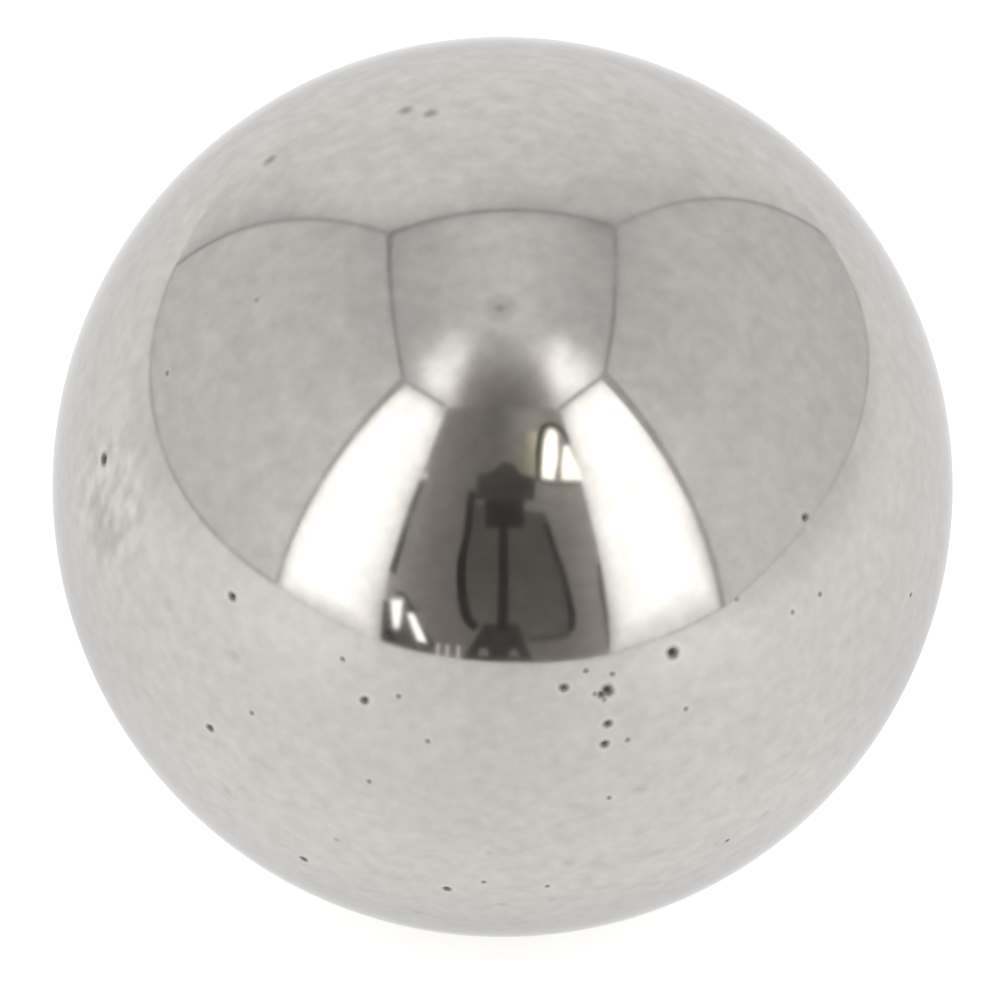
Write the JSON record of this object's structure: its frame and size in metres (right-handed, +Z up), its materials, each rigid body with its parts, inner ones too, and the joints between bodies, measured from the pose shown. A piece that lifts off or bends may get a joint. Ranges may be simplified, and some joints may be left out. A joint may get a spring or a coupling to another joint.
{
  "type": "steel ball",
  "caption": "Solid steel ball with a mirror polish and a scatter of fine wear pits, as used in bearings, valves and feed tracks.",
  "frame": {"origin": "centre of the ball", "axes": "+Z up; +Z is an axis of symmetry, and the worn, pitted side faces -Y"},
  "size_m": [0.0254, 0.0254, 0.0254],
  "materials": {
    "polished_steel": "polished"
  },
  "bodies": {
    "root": {"ball": "polished_steel"}
  },
  "joints": []
}
